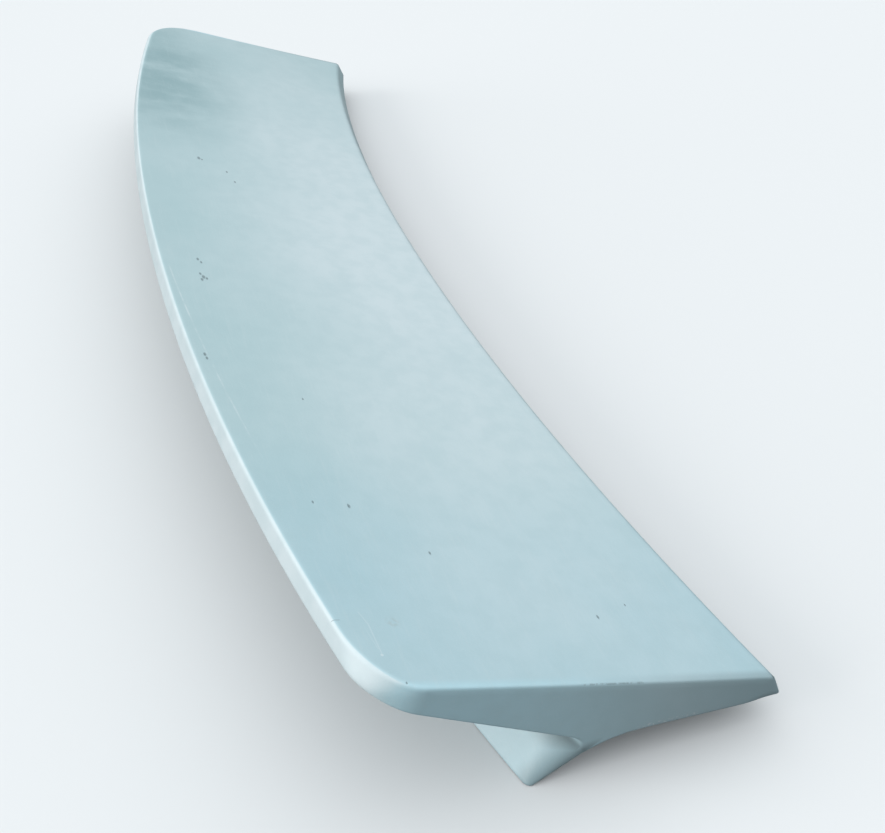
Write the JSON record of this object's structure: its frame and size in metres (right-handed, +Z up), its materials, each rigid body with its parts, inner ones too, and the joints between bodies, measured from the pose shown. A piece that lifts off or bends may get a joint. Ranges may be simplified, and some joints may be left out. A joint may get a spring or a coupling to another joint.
{
  "type": "boot spoiler",
  "caption": "Bowed ducktail boot spoiler: a wide sloping top ending in an upright lip, a leaning foot below it, and a hollow underside that seats on the boot lid.",
  "frame": {"origin": "middle of the foot's lower edge, where the moulding meets the rear edge of the boot lid", "axes": "+X to the right of the car, +Y to its front, +Z up"},
  "size_m": [1.2, 0.3303, 0.1288],
  "materials": {
    "primered_laminate": "satin, pale blue-grey primer on glass-fibre laminate, rubbed down by hand"
  },
  "bodies": {
    "root": {"spoiler_moulding": "primered_laminate"}
  },
  "joints": []
}
